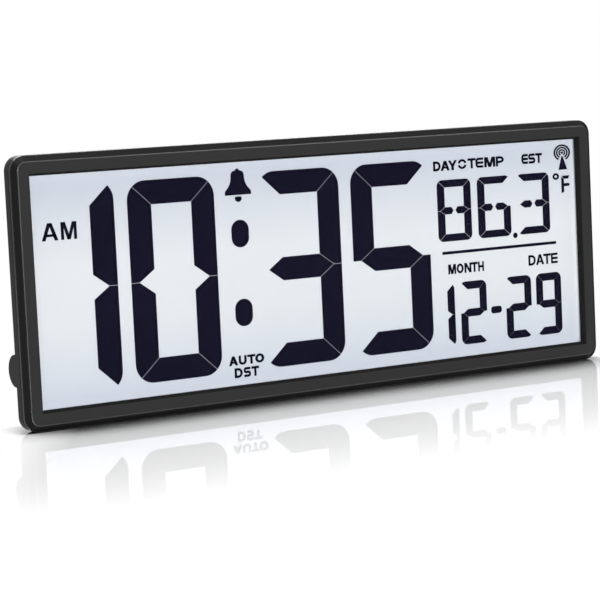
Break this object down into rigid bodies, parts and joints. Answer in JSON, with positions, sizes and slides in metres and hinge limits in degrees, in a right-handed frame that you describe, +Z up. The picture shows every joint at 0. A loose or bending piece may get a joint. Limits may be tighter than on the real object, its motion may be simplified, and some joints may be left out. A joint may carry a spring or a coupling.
{
  "type": "digital wall clock",
  "caption": "Wide digital wall clock: slim dark frame round one large liquid crystal display, rear housing with battery door and keys, keyhole hangers, and fold-out legs for a shelf.",
  "frame": {"origin": "middle of the base, on the surface that the clock stands on", "axes": "+X to the right as seen from the front, +Y from the display towards the back, +Z up"},
  "size_m": [0.368, 0.026, 0.14],
  "materials": {
    "case_plastic": "fine satin",
    "gasket_foam": "foam",
    "film": "clear film",
    "glass": "clear",
    "figures": "dark",
    "reflector": "pale grey film",
    "carrier_plastic": "moulded",
    "ribbon": "film",
    "board": "solder mask",
    "chip_resin": "resin",
    "quartz_metal": "plain",
    "capacitor_sleeve": "sleeve",
    "black_plastic": "moulded",
    "plunger_plastic": "moulded",
    "sensor_bead": "resin bead",
    "ferrite": "ferrite",
    "winding": "enamelled wire",
    "brass": "plain",
    "ceramic": "ceramic",
    "red_wire": "insulation",
    "black_wire": "insulation",
    "thin_wire": "insulation",
    "cell_sleeve": "plain sleeve",
    "contact_steel": "nickel plated",
    "screw_steel": "plated",
    "foot_rubber": "matt"
  },
  "bodies": {
    "case": {"front_frame": "case_plastic", "display_front_glass": "glass", "rear_cover": "case_plastic", "battery_cells": "cell_sleeve", "display_gasket": "gasket_foam", "front_polariser": "film", "time_figures": "figures", "temperature_figures": "figures", "date_figures": "figures", "display_rear_glass": "glass", "display_reflector": "reflector", "display_carrier": "carrier_plastic", "display_ribbon": "ribbon", "main_board": "board", "chip_cover": "chip_resin", "quartz_can": "quartz_metal", "capacitor": "capacitor_sleeve", "radio_header": "black_plastic", "radio_board": "board", "temperature_sensor": "sensor_bead", "switch_bodies": "black_plastic", "aerial_rod": "ferrite", "aerial_coil": "winding", "aerial_holder": "carrier_plastic", "buzzer_disc": "brass", "buzzer_ceramic": "ceramic", "red_battery_lead": "red_wire", "black_battery_lead": "black_wire", "aerial_leads": "thin_wire", "buzzer_leads": "thin_wire", "contact_plates": "contact_steel", "contact_leaves": "contact_steel", "case_screws": "screw_steel", "board_screws": "screw_steel", "left_leg_pin": "screw_steel", "right_leg_pin": "screw_steel"},
    "left_stand_leg": {"left_leg": "case_plastic", "left_foot_pad": "foot_rubber"},
    "right_stand_leg": {"right_leg": "case_plastic", "right_foot_pad": "foot_rubber"},
    "door": {"battery_door": "case_plastic"},
    "set_button": {"set_key": "case_plastic", "set_plunger": "plunger_plastic"},
    "mode_button": {"mode_key": "case_plastic", "mode_plunger": "plunger_plastic"},
    "up_button": {"up_key": "case_plastic", "up_plunger": "plunger_plastic"},
    "down_button": {"down_key": "case_plastic", "down_plunger": "plunger_plastic"},
    "alarm_button": {"alarm_key": "case_plastic", "alarm_plunger": "plunger_plastic"},
    "zone_button": {"zone_key": "case_plastic", "zone_plunger": "plunger_plastic"}
  },
  "joints": [
    {"name": "left_leg_fold", "type": "hinge", "parent": "case", "child": "left_stand_leg", "pos_m": [-0.1701, -0.00085, 0.0314], "axis": [-1, 0, 0], "range_deg": [0, 118]},
    {"name": "right_leg_fold", "type": "hinge", "parent": "case", "child": "right_stand_leg", "pos_m": [0.1701, -0.00085, 0.0314], "axis": [-1, 0, 0], "range_deg": [0, 118]},
    {"name": "door_slide", "type": "slide", "parent": "case", "child": "door", "axis": [0, 0, 1], "range_m": [0, 0.096]},
    {"name": "set_press", "type": "slide", "parent": "case", "child": "set_button", "axis": [0, -1, 0], "range_m": [0, 0.0008], "stiffness_N_per_m": 300},
    {"name": "mode_press", "type": "slide", "parent": "case", "child": "mode_button", "axis": [0, -1, 0], "range_m": [0, 0.0008], "stiffness_N_per_m": 300},
    {"name": "up_press", "type": "slide", "parent": "case", "child": "up_button", "axis": [0, -1, 0], "range_m": [0, 0.0008], "stiffness_N_per_m": 300},
    {"name": "down_press", "type": "slide", "parent": "case", "child": "down_button", "axis": [0, -1, 0], "range_m": [0, 0.0008], "stiffness_N_per_m": 300},
    {"name": "alarm_press", "type": "slide", "parent": "case", "child": "alarm_button", "axis": [0, -1, 0], "range_m": [0, 0.0008], "stiffness_N_per_m": 300},
    {"name": "zone_press", "type": "slide", "parent": "case", "child": "zone_button", "axis": [0, -1, 0], "range_m": [0, 0.0008], "stiffness_N_per_m": 300}
  ]
}
